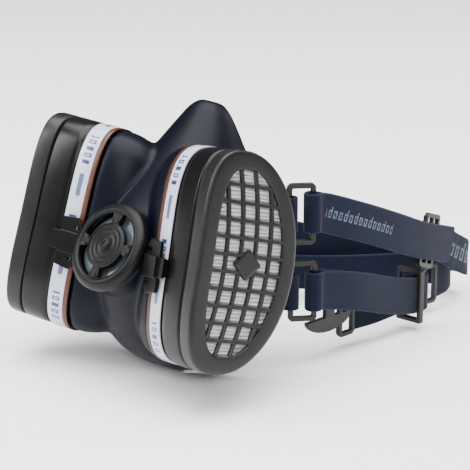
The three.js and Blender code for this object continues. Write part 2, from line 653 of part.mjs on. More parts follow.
// Neck clasp hook: a strap frame with a crescent plate hanging from its front bar
function claspGeometry() {
  const frame = frameGeometry(CLASP.along, CLASP.height, CLASP.bar, CLASP.thick);
  const half = CLASP.crescent / 2;
  const points = [];
  const steps = 12;
  for (let i = 0; i <= steps; i += 1) {
    const a = Math.PI * (1 + i / steps);
    points.push(new THREE.Vector2(half * Math.cos(a), CLASP.drop * Math.sin(a)));
  }
  const plate = new THREE.Shape(points);
  const crescent = new THREE.ExtrudeGeometry(plate, { depth: CLASP.thick, bevelEnabled: false });
  crescent.applyMatrix4(new THREE.Matrix4().makeBasis(
    new THREE.Vector3(0, 1, 0), new THREE.Vector3(0, 0, 1), new THREE.Vector3(1, 0, 0)));
  crescent.translate(-CLASP.thick / 2, -half + CLASP.along / 2 - CLASP.bar, 2.5);
  const stem = box(CLASP.thick, 7, 8, 0, -half + 4, 3.5);
  return build([frame, crescent, stem]);
}

// ---- Assembly ----
addMesh(mask, 'facepiece', faceGeometry(), COLOURS.rubber, 0.5);

const valve = new THREE.Group();
valve.rotation.x = Math.PI / 2 - VALVE_TILT;
valve.position.set(...VALVE_CENTRE);
mask.add(valve);
addMesh(valve, 'exhale_valve_seat', valveSeatGeometry(), COLOURS.grey);
addMesh(valve, 'exhale_valve_flap', exhaleFlapGeometry(), COLOURS.silicone, 0.4);
addMesh(valve, 'exhale_valve_cover', valveCoverGeometry(), COLOURS.grey, 0.45);

for (const side of [1, -1]) {
  const tag = side > 0 ? 'left' : 'right';
  const filter = new THREE.Group();
  filter.applyMatrix4(filterFrame(side));
  mask.add(filter);
  addMesh(filter, `filter_cover_${tag}`, coverGeometry(side), COLOURS.grey, 0.5);
  addMesh(filter, `filter_case_${tag}`, caseGeometry(side), COLOURS.dark, 0.5);
  addMesh(filter, `pleated_media_${tag}`, pleatsGeometry(side), COLOURS.media, 0.9);
  addMesh(filter, `carbon_screen_${tag}`, screenGeometry(side), COLOURS.dark, 0.6);
  const carbon = kidneySlab(side, BED_INSET, CARBON_BOTTOM, CARBON_TOP, null, INNER_STEPS);
  addMesh(filter, `carbon_bed_${tag}`, carbon, COLOURS.carbon, 0.95);
  addMesh(filter, `label_band_${tag}`, ringGeometry(side, LABEL_BOTTOM, LABEL_TOP), COLOURS.label, 0.4);
  const colour = ringGeometry(side, BAND_BOTTOM, LABEL_BOTTOM - GAP);
  addMesh(filter, `colour_band_${tag}`, colour, COLOURS.orange, 0.5);
  const gasket = kidneySlab(side, 6, GASKET_BOTTOM, GASKET_TOP, 10.5);
  addMesh(filter, `gasket_${tag}`, gasket, COLOURS.rubber, 0.8);
  addMesh(filter, `inhale_port_${tag}`, portGeometry(side), COLOURS.grey, 0.5);
  addMesh(filter, `inhale_flap_${tag}`, inhaleFlapGeometry(side), COLOURS.silicone, 0.4);
  addMesh(filter, `filter_latch_${tag}`, latchGeometry(side), COLOURS.dark, 0.5);
}

const harness = new THREE.Group();
root.add(harness);
for (const side of [1, -1]) {
  const tag = side > 0 ? 'left' : 'right';
  for (const level of ['upper', 'lower']) {
    addMesh(harness, `${level}_tab_${tag}`, tabGeometry(side, level), COLOURS.webbing, 0.9);
    const ring = addMesh(harness, `${level}_ring_${tag}`,
      frameGeometry(RING.along, RING.height, RING.bar, RING.thick), COLOURS.buckle, 0.5);
    ring.position.set(side * RING_AT[level][0], RING_AT[level][1], RING_AT[level][2]);
    ring.rotation.z = side * RING.turn;
  }
}
addMesh(harness, 'upper_strap_left', webbing(UPPER_LEFT, 36), COLOURS.webbing, 0.95);
addMesh(harness, 'upper_strap_right', webbing(UPPER_RIGHT, 32), COLOURS.webbing, 0.95);
addMesh(harness, 'head_band', webbing(HEAD_BAND, 20), COLOURS.webbing, 0.95);
addMesh(harness, 'lower_strap_left', webbing(LOWER_LEFT, 44), COLOURS.webbing, 0.95);
addMesh(harness, 'lower_strap_right', webbing(LOWER_RIGHT, 46), COLOURS.webbing, 0.95);
for (const [name, spot] of Object.entries(HARNESS_SLIDERS)) {
  const slider = addMesh(harness, name,
    frameGeometry(SLIDER.along, SLIDER.height, SLIDER.bar, SLIDER.thick, SLIDER.bar), COLOURS.buckle, 0.5);
  slider.applyMatrix4(alongMatrix(spot.at, spot.along));
}
const lowerSlider = addMesh(harness, 'lower_slider_left', sleeveGeometry(), COLOURS.buckle, 0.5);
lowerSlider.position.set(49.7, 125, -42.8);
const hook = addMesh(harness, 'neck_clasp_hook', claspGeometry(), COLOURS.buckle, 0.5);
hook.position.set(41.8, 83.2, -45.5);
const claspLoop = frameGeometry(CLASP.along, CLASP.height, CLASP.bar, CLASP.thick);
addMesh(harness, 'neck_clasp_loop', claspLoop, COLOURS.buckle, 0.5).position.set(37.6, 156.2, -46.6);

export default root;
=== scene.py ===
"""Looks for the painters respirator mask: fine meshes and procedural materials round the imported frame."""
import bpy
import bmesh
import json
import math
import numpy as np
from mathutils import Matrix, Vector


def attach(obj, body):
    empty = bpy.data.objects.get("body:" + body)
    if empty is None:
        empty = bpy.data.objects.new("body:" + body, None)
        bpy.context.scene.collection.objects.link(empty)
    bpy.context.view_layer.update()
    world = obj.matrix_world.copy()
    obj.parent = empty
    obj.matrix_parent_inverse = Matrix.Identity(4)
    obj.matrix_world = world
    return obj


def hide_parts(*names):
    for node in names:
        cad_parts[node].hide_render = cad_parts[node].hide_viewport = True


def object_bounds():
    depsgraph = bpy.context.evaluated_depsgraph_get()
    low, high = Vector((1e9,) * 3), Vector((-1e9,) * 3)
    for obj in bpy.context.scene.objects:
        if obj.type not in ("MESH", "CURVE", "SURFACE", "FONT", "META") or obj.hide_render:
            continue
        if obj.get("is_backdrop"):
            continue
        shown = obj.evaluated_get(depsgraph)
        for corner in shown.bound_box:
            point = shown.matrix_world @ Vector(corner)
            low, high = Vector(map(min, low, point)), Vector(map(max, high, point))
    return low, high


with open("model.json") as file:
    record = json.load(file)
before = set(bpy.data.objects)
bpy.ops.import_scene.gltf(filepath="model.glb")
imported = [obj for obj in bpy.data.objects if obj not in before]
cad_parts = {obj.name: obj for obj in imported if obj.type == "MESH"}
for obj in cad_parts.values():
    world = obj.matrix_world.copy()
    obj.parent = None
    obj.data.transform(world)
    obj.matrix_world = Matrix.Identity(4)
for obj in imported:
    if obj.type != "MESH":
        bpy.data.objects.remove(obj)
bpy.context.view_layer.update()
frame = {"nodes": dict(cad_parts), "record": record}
BODY_OF = {n: b for b, nodes in frame["record"]["behaviour"]["bodies"].items() for n in nodes}
MM = 0.001

# ---------------------------------------------------------------- driving sizes, in millimetres
LEAN_BACK = math.radians(21)
FILTER_WIDTH, FILTER_HEIGHT, FILTER_BEND, FILTER_POWER = 52, 100, 9, 2.35
FILTER_YAW, FILTER_RISE, FILTER_ROLL = math.radians(76), math.radians(2), math.radians(6)
FILTER_FACE = (66, -20.3, 0)
BAND_BOTTOM = -37
GASKET_TOP = -37.35
PORT_TOP, PORT_BOTTOM = -39.3, -50
GRILLE_INSET, GRILLE_PITCH, GRILLE_BAR = 8, 7.7, 1.6
VALVE_CENTRE, VALVE_TILT = (0, -31.6, -8.6), math.radians(12)
VALVE_BORE, VALVE_FLANGE = 16.6, 19.2
SHELL_WALL, POCKET_GAP = 2.6, 1.2
STRAP_WIDTH, STRAP_THICK = 19, 1.7
RING_TURN = math.radians(-37)
RING_AT = {"upper": (47, 43, 15), "lower": (50, 41, -22)}
RING_REACH = 5.7
LOOP_RADIUS = 3.8
LATCH_V, LATCH_PIVOT = -7, -24.7
LUG_LENGTH, LUG_HEIGHT, LUG_THICK, LUG_PROUD = 2.95, 8, 1.5, 1.6
RHOMBUS_HALF = 7.2
FLAT_TURN = 2

FACE_SECTIONS = [
    (-57, 12, 8, 22), (-53, 24, -3, 28), (-45, 33, -14, 32), (-33, 39, -23, 35),
    (-19, 42.5, -29, 36), (-4, 43.5, -31, 35), (11, 41.5, -29, 32), (25, 36, -24, 27),
    (38, 29, -18, 22), (50, 22, -12, 17), (60, 16, -7, 13), (67, 11, -3.5, 10), (71, 6, 0, 8)]
FACE_POWER = 2.2

# ---------------------------------------------------------------- places
MASK = Matrix.Rotation(-LEAN_BACK, 4, "X")


def filter_matrix(side):
    """The filter's own frame: z points out of its face, y up along it, x across it."""
    normal = Vector((math.sin(FILTER_YAW) * math.cos(FILTER_RISE),
                     -math.cos(FILTER_YAW) * math.cos(FILTER_RISE), math.sin(FILTER_RISE)))
    back = Vector((math.cos(FILTER_YAW), math.sin(FILTER_YAW), 0))
    up = normal.cross(back)
    x = back * math.cos(FILTER_ROLL) + up * math.sin(FILTER_ROLL)
    y = up * math.cos(FILTER_ROLL) - back * math.sin(FILTER_ROLL)
    if side < 0:
        x = Vector((x.x, -x.y, -x.z))
        y = Vector((-y.x, y.y, y.z))
        normal = Vector((-normal.x, normal.y, normal.z))
    m = Matrix((x, y, normal)).transposed().to_4x4()
    m.translation = Vector((side * FILTER_FACE[0], FILTER_FACE[1], FILTER_FACE[2]))
    return MASK @ m


VALVE = MASK @ Matrix.Translation(VALVE_CENTRE) @ Matrix.Rotation(math.pi / 2 - VALVE_TILT, 4, "X")


# ---------------------------------------------------------------- mesh helpers
def make(name, verts, faces, matrix=None, uvs=None):
    """A mesh object from points in millimetres, with its place baked into its mesh."""
    m = matrix or Matrix.Identity(4)
    points = [(m @ Vector(v)) * MM for v in verts]
    mesh = bpy.data.meshes.new(name)
    mesh.from_pydata(points, [], [list(f) for f in faces])
    if uvs is not None:
        layer = mesh.uv_layers.new(name="UVMap")
        loops = np.empty(len(mesh.loops), np.int32)
        mesh.loops.foreach_get("vertex_index", loops)
        layer.data.foreach_set("uv", np.asarray(uvs, np.float32)[loops].ravel())
    bm = bmesh.new()
    bm.from_mesh(mesh)
    bmesh.ops.recalc_face_normals(bm, faces=bm.faces)
    bm.to_mesh(mesh)
    bm.free()
    obj = bpy.data.objects.new(name, mesh)
    bpy.context.scene.collection.objects.link(obj)
    soften(obj)
    return obj


def soften(obj, degrees=35):
    """Smooth shading with creases kept above an angle."""
    mesh = obj.data
    mesh.polygons.foreach_set("use_smooth", [True] * len(mesh.polygons))
    if hasattr(mesh, "set_sharp_from_angle"):
        mesh.set_sharp_from_angle(angle=math.radians(degrees))


def apply_modifiers(obj):
    graph = bpy.context.evaluated_depsgraph_get()
    graph.update()
    result = bpy.data.meshes.new_from_object(obj.evaluated_get(graph), depsgraph=graph)
    result.name = obj.data.name
    obj.modifiers.clear()
    obj.data = result
    return obj


def joined(name, objects):
    """Several mesh objects as one."""
    bm = bmesh.new()
    for o in objects:
        bm.from_mesh(o.data)
    mesh = bpy.data.meshes.new(name)
    bm.to_mesh(mesh)
    bm.free()
    for o in objects:
        bpy.data.objects.remove(o)
    obj = bpy.data.objects.new(name, mesh)
    bpy.context.scene.collection.objects.link(obj)
    soften(obj)
    return obj


def cut(obj, tools):
    """Boolean differences, the tools are removed."""
    for tool in tools:
        mod = obj.modifiers.new("cut", "BOOLEAN")
        mod.operation = "DIFFERENCE"
        mod.solver = "EXACT"
        mod.object = tool
        apply_modifiers(obj)
        bpy.data.objects.remove(tool)
    return obj


def remeshed(obj, voxel, smooth_steps=0, factor=0.5):
    mod = obj.modifiers.new("remesh", "REMESH")
    mod.mode = "VOXEL"
    mod.voxel_size = voxel * MM
    mod.use_smooth_shade = True
    if smooth_steps:
        soft = obj.modifiers.new("smooth", "SMOOTH")
        soft.factor = factor
        soft.iterations = smooth_steps
    return apply_modifiers(obj)


def swept(rings, closed_path=False, caps=True):
    """Points and faces over rings that all have the same count."""
    count = len(rings[0])
    verts = [p for ring in rings for p in ring]
    faces = []
    spans = len(rings) if closed_path else len(rings) - 1
    for i in range(spans):
        a0, b0 = i * count, ((i + 1) % len(rings)) * count
        for j in range(count):
            k = (j + 1) % count
            faces.append((a0 + j, a0 + k, b0 + k, b0 + j))
    if caps and not closed_path:
        faces.append(tuple(range(count)))
        faces.append(tuple(range((len(rings) - 1) * count, len(rings) * count)))
    return verts, faces


def signed_power(x, power):
    return math.copysign(abs(x) ** power, x)


def bend(v):
    return FILTER_BEND * (0.5 - (v / (FILTER_HEIGHT / 2)) ** 2)


def kidney(side, inset, steps=144):
    half = FILTER_HEIGHT / 2
    out = []
    for i in range(steps):
        t = i / steps * 2 * math.pi
        u = (FILTER_WIDTH / 2 - inset) * signed_power(math.cos(t), 2 / FILTER_POWER)
        v = (half - inset) * signed_power(math.sin(t), 2 / FILTER_POWER)
        out.append((side * (u + bend(v)), v))
    return out


def half_width(v, inset):
    """Half width of the filter outline at height v, for an inset."""
    reach = 1 - abs(v / (FILTER_HEIGHT / 2 - inset)) ** FILTER_POWER
    return (FILTER_WIDTH / 2 - inset) * max(reach, 0) ** (1 / FILTER_POWER)


def kidney_ring(name, side, profile, matrix, uv=False):
    """A closed section of (inset, z) points swept round the filter outline."""
    outlines = [kidney(side, inset) for inset, _ in profile]
    steps = len(outlines[0])
    rings = [[(outlines[j][i][0], outlines[j][i][1], profile[j][1]) for j in range(len(profile))]
             for i in range(steps)]
    verts, faces = swept(rings, closed_path=True)
    uvs = None
    if uv:
        uvs = []
        run = 0.0
        for i in range(steps):
            a, b = outlines[0][i], outlines[0][i - 1]
            run += math.dist(a, b) if i else 0.0
            uvs.extend((run, z) for _, z in profile)
    return make(name, verts, faces, matrix, uvs)


def kidney_loft(name, side, stations, matrix, steps=144):
    rings = [[(x, y, z) for x, y in kidney(side, inset, steps)] for z, inset in stations]
    verts, faces = swept(rings)
    return make(name, verts, faces, matrix)


def rounded(points, radius, steps=4):
    """A closed outline with its corners rounded."""
    out = []
    count = len(points)
    for i in range(count):
        p = Vector(points[i])
        a = Vector(points[i - 1]) - p
        b = Vector(points[(i + 1) % count]) - p
        r = min(radius, a.length * 0.45, b.length * 0.45)
        start, end = p + a.normalized() * r, p + b.normalized() * r
        for k in range(steps + 1):
            t = k / steps
            q = start * (1 - t) ** 2 + p * 2 * t * (1 - t) + end * t ** 2
            out.append(tuple(q))
    return out


def lathe(name, profile, matrix, steps=96, centre=(0, 0)):
    """A closed (radius, z) profile turned about z; points on the axis are allowed."""
    verts, faces, index = [], [], []
    for r, z in profile:
        if r < 1e-6:
            index.append([len(verts)] * steps)
            verts.append((centre[0], centre[1], z))
        else:
            index.append([len(verts) + i for i in range(steps)])
            for i in range(steps):
                a = i / steps * 2 * math.pi
                verts.append((centre[0] + r * math.cos(a), centre[1] + r * math.sin(a), z))
    for j in range(len(profile)):
        row, nxt = index[j], index[(j + 1) % len(profile)]
        for i in range(steps):
            k = (i + 1) % steps
            face = list(dict.fromkeys((row[i], row[k], nxt[k], nxt[i])))
            if len(face) > 2:
                faces.append(face)
    return make(name, verts, faces, matrix)


def box_piece(name, size, at, matrix, turn=0.0):
    """A box at a place, both then turned about the matrix's z axis."""
    x, y, z = (s / 2 for s in size)
    spin = Matrix.Rotation(turn, 4, "Z")
    verts = [tuple(spin @ Vector((at[0] + a * x, at[1] + b * y, at[2] + c * z)))
             for a in (-1, 1) for b in (-1, 1) for c in (-1, 1)]
    faces = [(0, 1, 3, 2), (4, 6, 7, 5), (0, 4, 5, 1), (2, 3, 7, 6), (0, 2, 6, 4), (1, 5, 7, 3)]
    return make(name, verts, faces, matrix)


def bevelled(obj, width, segments=3, angle=30):
    """Rounded edges, with normals that keep the flat faces flat."""
    mod = obj.modifiers.new("bevel", "BEVEL")
    mod.width = width * MM
    mod.segments = segments
    mod.limit_method = "ANGLE"
    mod.angle_limit = math.radians(angle)
    apply_modifiers(obj)
    soften(obj, 60)
    weighted = obj.modifiers.new("weighted", "WEIGHTED_NORMAL")
    weighted.keep_sharp = True
    weighted.weight = 100
    return apply_modifiers(obj)


def refined(node, bevel=0.35, segments=3):
    """A CAD node's own shape with merged facets and rounded edges."""
    source = frame["nodes"][node]
    mesh = source.data.copy()
    bm = bmesh.new()
    bm.from_mesh(mesh)
    bmesh.ops.remove_doubles(bm, verts=bm.verts, dist=1e-6)
    bmesh.ops.dissolve_limit(bm, angle_limit=math.radians(FLAT_TURN), verts=bm.verts, edges=bm.edges)
    bm.to_mesh(mesh)
    bm.free()
    obj = bpy.data.objects.new(node + "_fine", mesh)
    obj.data.materials.clear()
    bpy.context.scene.collection.objects.link(obj)
    bevelled(obj, bevel, segments)
    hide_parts(node)
    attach(obj, BODY_OF[node])
    return obj


# ---------------------------------------------------------------- materials
class Shader:
    """Small helper round one material's nodes."""

    def __init__(self, name):
        self.material = bpy.data.materials.new(name)
        self.material.use_nodes = True
        self.nodes = self.material.node_tree.nodes
        self.links = self.material.node_tree.links
        self.bsdf = self.nodes["Principled BSDF"]

    def node(self, kind, **settings):
        node = self.nodes.new(kind)
        for key, value in settings.items():
            if key in node.inputs:
                node.inputs[key].default_value = value
            else:
                setattr(node, key, value)
        return node

    def link(self, source, target):
        self.links.new(source, target)

    def set(self, **values):
        for key, value in values.items():
            self.bsdf.inputs[key.replace("_", " ")].default_value = value

    def coords(self, scale=(1, 1, 1)):
        tex = self.node("ShaderNodeTexCoord")
        mapping = self.node("ShaderNodeMapping")
        mapping.inputs["Scale"].default_value = scale
        self.link(tex.outputs["Object"], mapping.inputs["Vector"])
        return mapping.outputs["Vector"]

    def noise(self, vector, scale, detail=3, rough=0.55):
        node = self.node("ShaderNodeTexNoise", Scale=scale, Detail=detail, Roughness=rough)
        self.link(vector, node.inputs["Vector"])
        return node.outputs["Fac"]

    def ramp(self, fac, stops):
        node = self.node("ShaderNodeValToRGB")
        elements = node.color_ramp.elements
        while len(elements) < len(stops):
            elements.new(0.5)
        for element, (place, colour) in zip(elements, stops):
            element.position = place
            element.color = (*colour, 1) if len(colour) == 3 else colour
        self.link(fac, node.inputs["Fac"])
        return node.outputs["Color"]

    def mix(self, fac, a, b, blend="MIX"):
        node = self.node("ShaderNodeMix")
        node.data_type = "RGBA"
        node.blend_type = blend
        for value, index in ((fac, 0), (a, 6), (b, 7)):
            if hasattr(value, "links"):
                self.link(value, node.inputs[index])
            else:
                node.inputs[index].default_value = value if index == 0 else (*value, 1)
        return node.outputs[2]

    def maths(self, operation, a, b=0.0):
        node = self.node("ShaderNodeMath")
        node.operation = operation
        for value, index in ((a, 0), (b, 1)):
            if hasattr(value, "links"):
                self.link(value, node.inputs[index])
            else:
                node.inputs[index].default_value = value
        return node.outputs[0]

    def bump(self, height, strength, distance, normal=None):
        node = self.node("ShaderNodeBump", Strength=strength, Distance=distance)
        self.link(height, node.inputs["Height"])
        if normal is not None:
            self.link(normal, node.inputs["Normal"])
        return node.outputs["Normal"]

    def finish(self, colour=None, rough=None, normal=None):
        if colour is not None:
            self.link(colour, self.bsdf.inputs["Base Color"])
        if rough is not None:
            self.link(rough, self.bsdf.inputs["Roughness"])
        if normal is not None:
            self.link(normal, self.bsdf.inputs["Normal"])
        return self.material


def moulded_plastic(name, dark, light, rough=(0.34, 0.5), grain=0.05, shine=0.28):
    """Satin moulded plastic: fine spark-eroded grain, faint cloudiness and rubbed edges."""
    s = Shader(name)
    place = s.coords()
    cloud = s.noise(place, 45, 4)
    fine = s.noise(place, 2600, 2)
    colour = s.ramp(cloud, [(0.3, dark), (0.75, light)])
    edge = s.node("ShaderNodeNewGeometry").outputs["Pointiness"]
    worn = s.ramp(edge, [(0.52, (0, 0, 0)), (0.62, (1, 1, 1))])
    colour = s.mix(s.maths("MULTIPLY", worn, 0.12), colour, tuple(c * 1.6 for c in light))
    roughness = s.node("ShaderNodeMapRange")
    roughness.inputs["To Min"].default_value = rough[0]
    roughness.inputs["To Max"].default_value = rough[1]
    s.link(s.noise(place, 60, 2), roughness.inputs["Value"])
    normal = s.bump(fine, grain, 0.0002)
    s.set(Specular_IOR_Level=shine)
    return s.finish(colour, roughness.outputs["Result"], normal)


def soft_rubber(name):
    """Moulded elastomer: deep navy, satin, with faint flow marks and specks of dust."""
    s = Shader(name)
    place = s.coords()
    cloud = s.noise(place, 28, 5)
    colour = s.ramp(cloud, [(0.25, (0.0003, 0.0008, 0.0044)), (0.8, (0.0006, 0.0014, 0.0070))])
    dust = s.ramp(s.noise(place, 260, 6, 0.7), [(0.58, (0, 0, 0)), (0.78, (1, 1, 1))])
    colour = s.mix(s.maths("MULTIPLY", dust, 0.12), colour, (0.004, 0.006, 0.013))
    fine = s.noise(place, 1900, 2)
    wide = s.noise(place, 120, 3)
    rough = s.node("ShaderNodeMapRange")
    rough.inputs["To Min"].default_value = 0.34
    rough.inputs["To Max"].default_value = 0.48
    s.link(s.noise(place, 70, 4), rough.inputs["Value"])
    normal = s.bump(fine, 0.05, 0.0002)
    normal = s.bump(wide, 0.06, 0.0006, normal)
    s.set(Specular_IOR_Level=0.13)
    return s.finish(colour, rough.outputs["Result"], normal)


def silicone(name):
    s = Shader(name)
    place = s.coords()
    colour = s.ramp(s.noise(place, 90, 3), [(0.3, (0.040, 0.056, 0.066)), (0.8, (0.060, 0.082, 0.094))])
    s.set(Roughness=0.32, Subsurface_Weight=0.25, Subsurface_Scale=0.002, Transmission_Weight=0.1)
    s.bsdf.inputs["Subsurface Radius"].default_value = (0.5, 0.7, 0.8)
    return s.finish(colour, None, s.bump(s.noise(place, 1500, 2), 0.08, 0.0002))


def media_cloth(name):
    """Off-white non-woven fleece: random fibres and slight greying."""
    s = Shader(name)
    place = s.coords()
    fibres = s.noise(s.coords(scale=(1, 3.5, 1)), 900, 6, 0.7)
    patch = s.noise(place, 60, 3)
    colour = s.ramp(patch, [(0.3, (0.80, 0.795, 0.77)), (0.8, (0.92, 0.915, 0.90))])
    colour = s.mix(s.maths("MULTIPLY", s.ramp(fibres, [(0.35, (1, 1, 1)), (0.6, (0, 0, 0))]), 0.25),
                   colour, (0.55, 0.55, 0.55))
    s.set(Roughness=0.95, Sheen_Weight=0.2)
    return s.finish(colour, None, s.bump(fibres, 0.5, 0.0003))


def granules(name):
    s = Shader(name)
    node = s.node("ShaderNodeTexVoronoi", Scale=900.0)
    s.link(s.coords(), node.inputs["Vector"])
    # painted shade: each granule is lighter at its centre and darker towards its border, so the gaps between
    # granules are painted dark
    colour = s.ramp(node.outputs["Distance"], [(0.0, (0.03, 0.03, 0.03)), (0.8, (0.006, 0.006, 0.006))])
    s.set(Roughness=0.8)
    return s.finish(colour, None, s.bump(node.outputs["Distance"], 1.0, 0.0006))


def webbing_cloth(name, dark, light, edge_colour, ribs=16, upright=False):
    """Ribbed woven elastic: ribs run along the strap, picks run across; both are in millimetres."""
    s = Shader(name)
    parts = s.node("ShaderNodeSeparateXYZ")
    if upright:
        s.link(s.coords(scale=(1000, 1000, 1000)), parts.inputs[0])
        along, across = s.maths("ADD", parts.outputs["X"], parts.outputs["Y"]), parts.outputs["Z"]
    else:
        s.link(s.node("ShaderNodeUVMap").outputs["UV"], parts.inputs[0])
        along, across = parts.outputs["X"], parts.outputs["Y"]
    rib = s.maths("SINE", s.maths("MULTIPLY", across, ribs * math.pi * 2 / STRAP_WIDTH))
    pick = s.maths("SINE", s.maths("MULTIPLY", along, math.pi * 2 / 0.62))
    twill = s.maths("SINE", s.maths("MULTIPLY", s.maths("ADD", along, across), math.pi * 2 / 0.9))
    crossing = s.maths("MULTIPLY", s.maths("MULTIPLY", pick, twill), 0.5)
    weave = s.maths("ADD", s.maths("MULTIPLY", rib, 0.6), crossing)
    place = s.coords()
    fuzz = s.noise(place, 3200, 3)
    patch = s.noise(place, 55, 4)
    colour = s.ramp(patch, [(0.3, dark), (0.75, light)])
    # painted shade and highlight: the weave's grooves are darkened and its raised ribs lightened, following
    # the weave height that also drives the bump
    # the third input keeps its 0.5, which centres the weave on the ramp
    painted_weave_shade = s.ramp(s.maths("MULTIPLY_ADD", weave, 0.3),
                   [(0.3, (0.55, 0.55, 0.55)), (0.75, (1.25, 1.25, 1.25))])
    colour = s.mix(1.0, colour, painted_weave_shade, "MULTIPLY")
    if not upright:
        margin = s.maths("DIVIDE", s.maths("ABSOLUTE", across), STRAP_WIDTH / 2)
        selvedge = s.ramp(margin, [(0.9, (0, 0, 0)), (0.95, (1, 1, 1))])
        colour = s.mix(s.maths("MULTIPLY", selvedge, 0.5), colour, edge_colour)
    normal = s.bump(weave, 0.28, 0.0002)
    normal = s.bump(fuzz, 0.25, 0.0002, normal)
    s.set(Roughness=0.9, Sheen_Weight=0.06, Sheen_Roughness=0.5, Specular_IOR_Level=0.2)
    return s, colour, normal, along, across


NAVY = (0.0012, 0.0031, 0.0140), (0.0023, 0.0058, 0.0235), (0.004, 0.009, 0.034)


def plain_webbing(name, upright=False):
    s, colour, normal, _, _ = webbing_cloth(name, *NAVY, upright=upright)
    return s.finish(colour, None, normal)


def band(s, value, low, high):
    """1 where value lies between low and high."""
    return s.maths("MULTIPLY", s.maths("GREATER_THAN", value, low), s.maths("LESS_THAN", value, high))


def printed_webbing(name, start, end, size):
    """Webbing with a generic row of pale printed marks between two places along it."""
    s, colour, normal, along, across = webbing_cloth(name, *NAVY)
    step = s.maths("DIVIDE", along, 3.5 * size)
    cell = s.maths("FRACT", step)
    kind = s.maths("FRACT", s.maths("MULTIPLY", s.maths("FLOOR", step), 0.381))
    body = s.maths("MULTIPLY", band(s, cell, 0.16, 0.80), band(s, across, -1.9 * size, 1.9 * size))
    stem = s.maths("MULTIPLY", band(s, cell, 0.16, 0.36), band(s, across, -1.9 * size, 3.6 * size))
    stem = s.maths("MULTIPLY", stem, s.maths("GREATER_THAN", kind, 0.62))
    hollow = s.maths("MULTIPLY", band(s, cell, 0.36, 0.62), band(s, across, -1.1 * size, 1.1 * size))
    marks = s.maths("MAXIMUM", s.maths("SUBTRACT", s.maths("MAXIMUM", body, stem), hollow), 0.0)
    marks = s.maths("MULTIPLY", marks, band(s, along, start, end))
    worn = s.ramp(s.noise(s.coords(), 900, 3), [(0.35, (0.35, 0.35, 0.35)), (0.6, (1, 1, 1))])
    colour = s.mix(s.maths("MULTIPLY", s.maths("MULTIPLY", marks, worn), 0.8), colour, (0.13, 0.17, 0.22))
    return s.finish(colour, None, normal)


def label_film(name):
    """White label film with generic blue ticks and blocks in place of print."""
    s = Shader(name)
    uv = s.node("ShaderNodeUVMap")
    parts = s.node("ShaderNodeSeparateXYZ")
    s.link(uv.outputs["UV"], parts.inputs[0])
    along, height = parts.outputs["X"], parts.outputs["Y"]
    paper = s.ramp(s.noise(s.coords(), 80, 3), [(0.3, (0.42, 0.43, 0.52)), (0.8, (0.50, 0.51, 0.60))])
    cell = s.maths("FRACT", s.maths("DIVIDE", along, 3.3))
    group = s.maths("FRACT", s.maths("DIVIDE", along, 38.0))
    index = s.maths("FLOOR", s.maths("DIVIDE", along, 3.3))
    kind = s.maths("FRACT", s.maths("MULTIPLY", index, 0.618))
    inked = s.maths("MULTIPLY", band(s, cell, 0.16, 0.72), band(s, height, -32.4, -28.2))
    gap = s.maths("MULTIPLY", s.maths("MULTIPLY", band(s, cell, 0.34, 0.54), band(s, height, -31.5, -29.1)),
                  s.maths("GREATER_THAN", kind, 0.4))
    inked = s.maths("SUBTRACT", inked, gap)
    inked = s.maths("MULTIPLY", s.maths("MAXIMUM", inked, 0.0), band(s, group, 0.12, 0.52))
    block = s.maths("MULTIPLY", band(s, group, 0.62, 0.90), band(s, height, -31.6, -29.0))
    ink = s.maths("MAXIMUM", inked, s.maths("MULTIPLY", block, 0.85))
    colour = s.mix(ink, paper, (0.010, 0.035, 0.14))
    s.set(Roughness=0.33, Specular_IOR_Level=0.5, Coat_Weight=0.2, Coat_Roughness=0.25)
    return s.finish(colour, None, s.bump(s.noise(s.coords(), 300, 2), 0.05, 0.0003))


def orange_print(name):
    s = Shader(name)
    place = s.coords()
    colour = s.ramp(s.noise(place, 60, 4), [(0.3, (0.045, 0.0095, 0.0006)), (0.8, (0.070, 0.0155, 0.0012))])
    s.set(Roughness=0.42, Specular_IOR_Level=0.45)
    return s.finish(colour, None, s.bump(s.noise(place, 900, 3), 0.12, 0.0002))


MATERIALS = {
    "rubber": soft_rubber("moulded_rubber"),
    "cover": moulded_plastic(
        "warm_grey_plastic", (0.0062, 0.0062, 0.0070), (0.0095, 0.0094, 0.0104), (0.30, 0.42)),
    "case": moulded_plastic(
        "dark_grey_plastic", (0.0018, 0.0018, 0.0020), (0.0030, 0.0030, 0.0032), (0.24, 0.36), 0.05, 0.22),
    "valve": moulded_plastic(
        "valve_plastic", (0.0020, 0.0020, 0.0023), (0.0032, 0.0032, 0.0037), (0.34, 0.46), 0.05, 0.17),
    "buckle": moulded_plastic(
        "buckle_plastic", (0.0060, 0.0054, 0.0048), (0.0100, 0.0092, 0.0082), (0.32, 0.46), 0.08),
    "silicone": silicone("flap_silicone"),
    "media": media_cloth("filter_fleece"),
    "carbon": granules("carbon_granules"),
    "label": label_film("label_film"),
    "orange": orange_print("orange_print"),
    "webbing": plain_webbing("navy_elastic"),
    "printed": printed_webbing("navy_elastic_printed", 64, 113, 1.0),
    "printed_band": printed_webbing("navy_band_printed", 88, 150, 1.8),
    "tab": plain_webbing("navy_tab_elastic", True),
}


def dress(obj, material, body=None, replaces=()):
    obj.data.materials.clear()
    obj.data.materials.append(MATERIALS[material])
    if body:
        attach(obj, body)
    if replaces:
        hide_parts(*replaces)
    return obj


